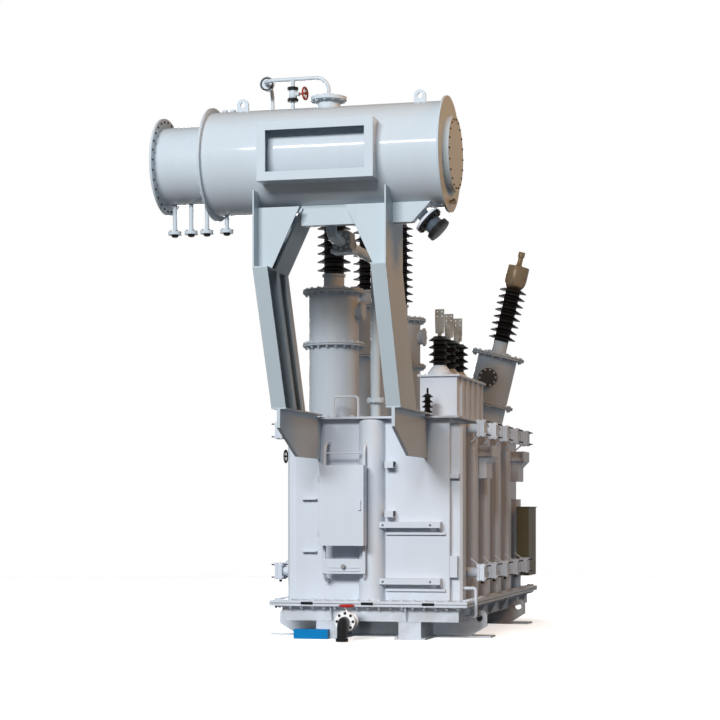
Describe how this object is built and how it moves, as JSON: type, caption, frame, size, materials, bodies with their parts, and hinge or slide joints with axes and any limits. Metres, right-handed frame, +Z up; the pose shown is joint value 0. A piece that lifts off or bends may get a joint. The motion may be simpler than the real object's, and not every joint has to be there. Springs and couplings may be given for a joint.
{
  "type": "power transformer",
  "caption": "Oil-filled power transformer on skids with leaning-leg conservator, porcelain bushings on turrets, valve flanges for radiators and a hinged control cabinet.",
  "frame": {"origin": "on the ground under the middle of the tank, at the centre of the foundation bolts", "axes": "+Z up; -Y to the front, where the conservator hangs; +X to the right seen from the front"},
  "size_m": [3.168, 7.33, 6.08],
  "materials": {
    "tank_paint": "semi-gloss",
    "porcelain": "glazed",
    "bare_aluminium": "cast",
    "terminal_brass": "dull",
    "red_paint": "gloss",
    "black_paint": "satin",
    "blue_paint": "painted",
    "relay_grey": "painted"
  },
  "bodies": {
    "transformer": {"base_tray": "tank_paint", "breather_pipe": "tank_paint", "bypass_valve": "red_paint", "cabinet_body": "tank_paint", "chock": "blue_paint", "conservator_left_end": "tank_paint", "conservator_lugs": "tank_paint", "conservator_right_end": "tank_paint", "conservator_shell": "tank_paint", "cover": "tank_paint", "cover_hoop": "tank_paint", "cross_skids": "tank_paint", "drain_handwheel": "red_paint", "drain_spout": "black_paint", "drain_valve": "tank_paint", "drop_pipes": "tank_paint", "earthing_bushing": "porcelain", "end_ribs": "tank_paint", "gas_relay": "relay_grey", "hv_collars": "bare_aluminium", "hv_porcelain_front": "porcelain", "hv_porcelain_middle": "porcelain", "hv_porcelain_rear": "porcelain", "hv_terminals": "bare_aluminium", "hv_turret_front": "tank_paint", "hv_turret_middle": "tank_paint", "hv_turret_rear": "tank_paint", "left_stiffeners": "tank_paint", "left_valves": "tank_paint", "leg_gussets": "tank_paint", "legs": "tank_paint", "level_gauge": "black_paint", "lifting_bollards": "tank_paint", "long_skids": "tank_paint", "lower_flange": "tank_paint", "lv_box": "tank_paint", "lv_porcelain": "porcelain", "lv_terminals": "bare_aluminium", "manhole_cover": "tank_paint", "neutral_collar": "bare_aluminium", "neutral_porcelain": "porcelain", "neutral_terminal": "terminal_brass", "neutral_turret": "tank_paint", "oil_riser": "tank_paint", "rear_cabinet": "tank_paint", "right_stiffeners": "tank_paint", "right_valves": "tank_paint", "saddle_beam": "tank_paint", "sign_frame": "tank_paint", "tank_body": "tank_paint", "tap_drum_end": "tank_paint", "tap_drum_shell": "tank_paint", "tray_gussets": "tank_paint", "tube_frame": "tank_paint", "upper_brackets": "tank_paint", "upper_flange": "tank_paint", "valve_levers": "tank_paint", "wall_brackets": "tank_paint"},
    "door": {"cabinet_door": "tank_paint"}
  },
  "joints": [
    {"name": "cabinet_door_hinge", "type": "hinge", "parent": "transformer", "child": "door", "pos_m": [-0.542, -2.6575, 1.515], "axis": [0, 0, -1], "range_deg": [0, 110]}
  ]
}
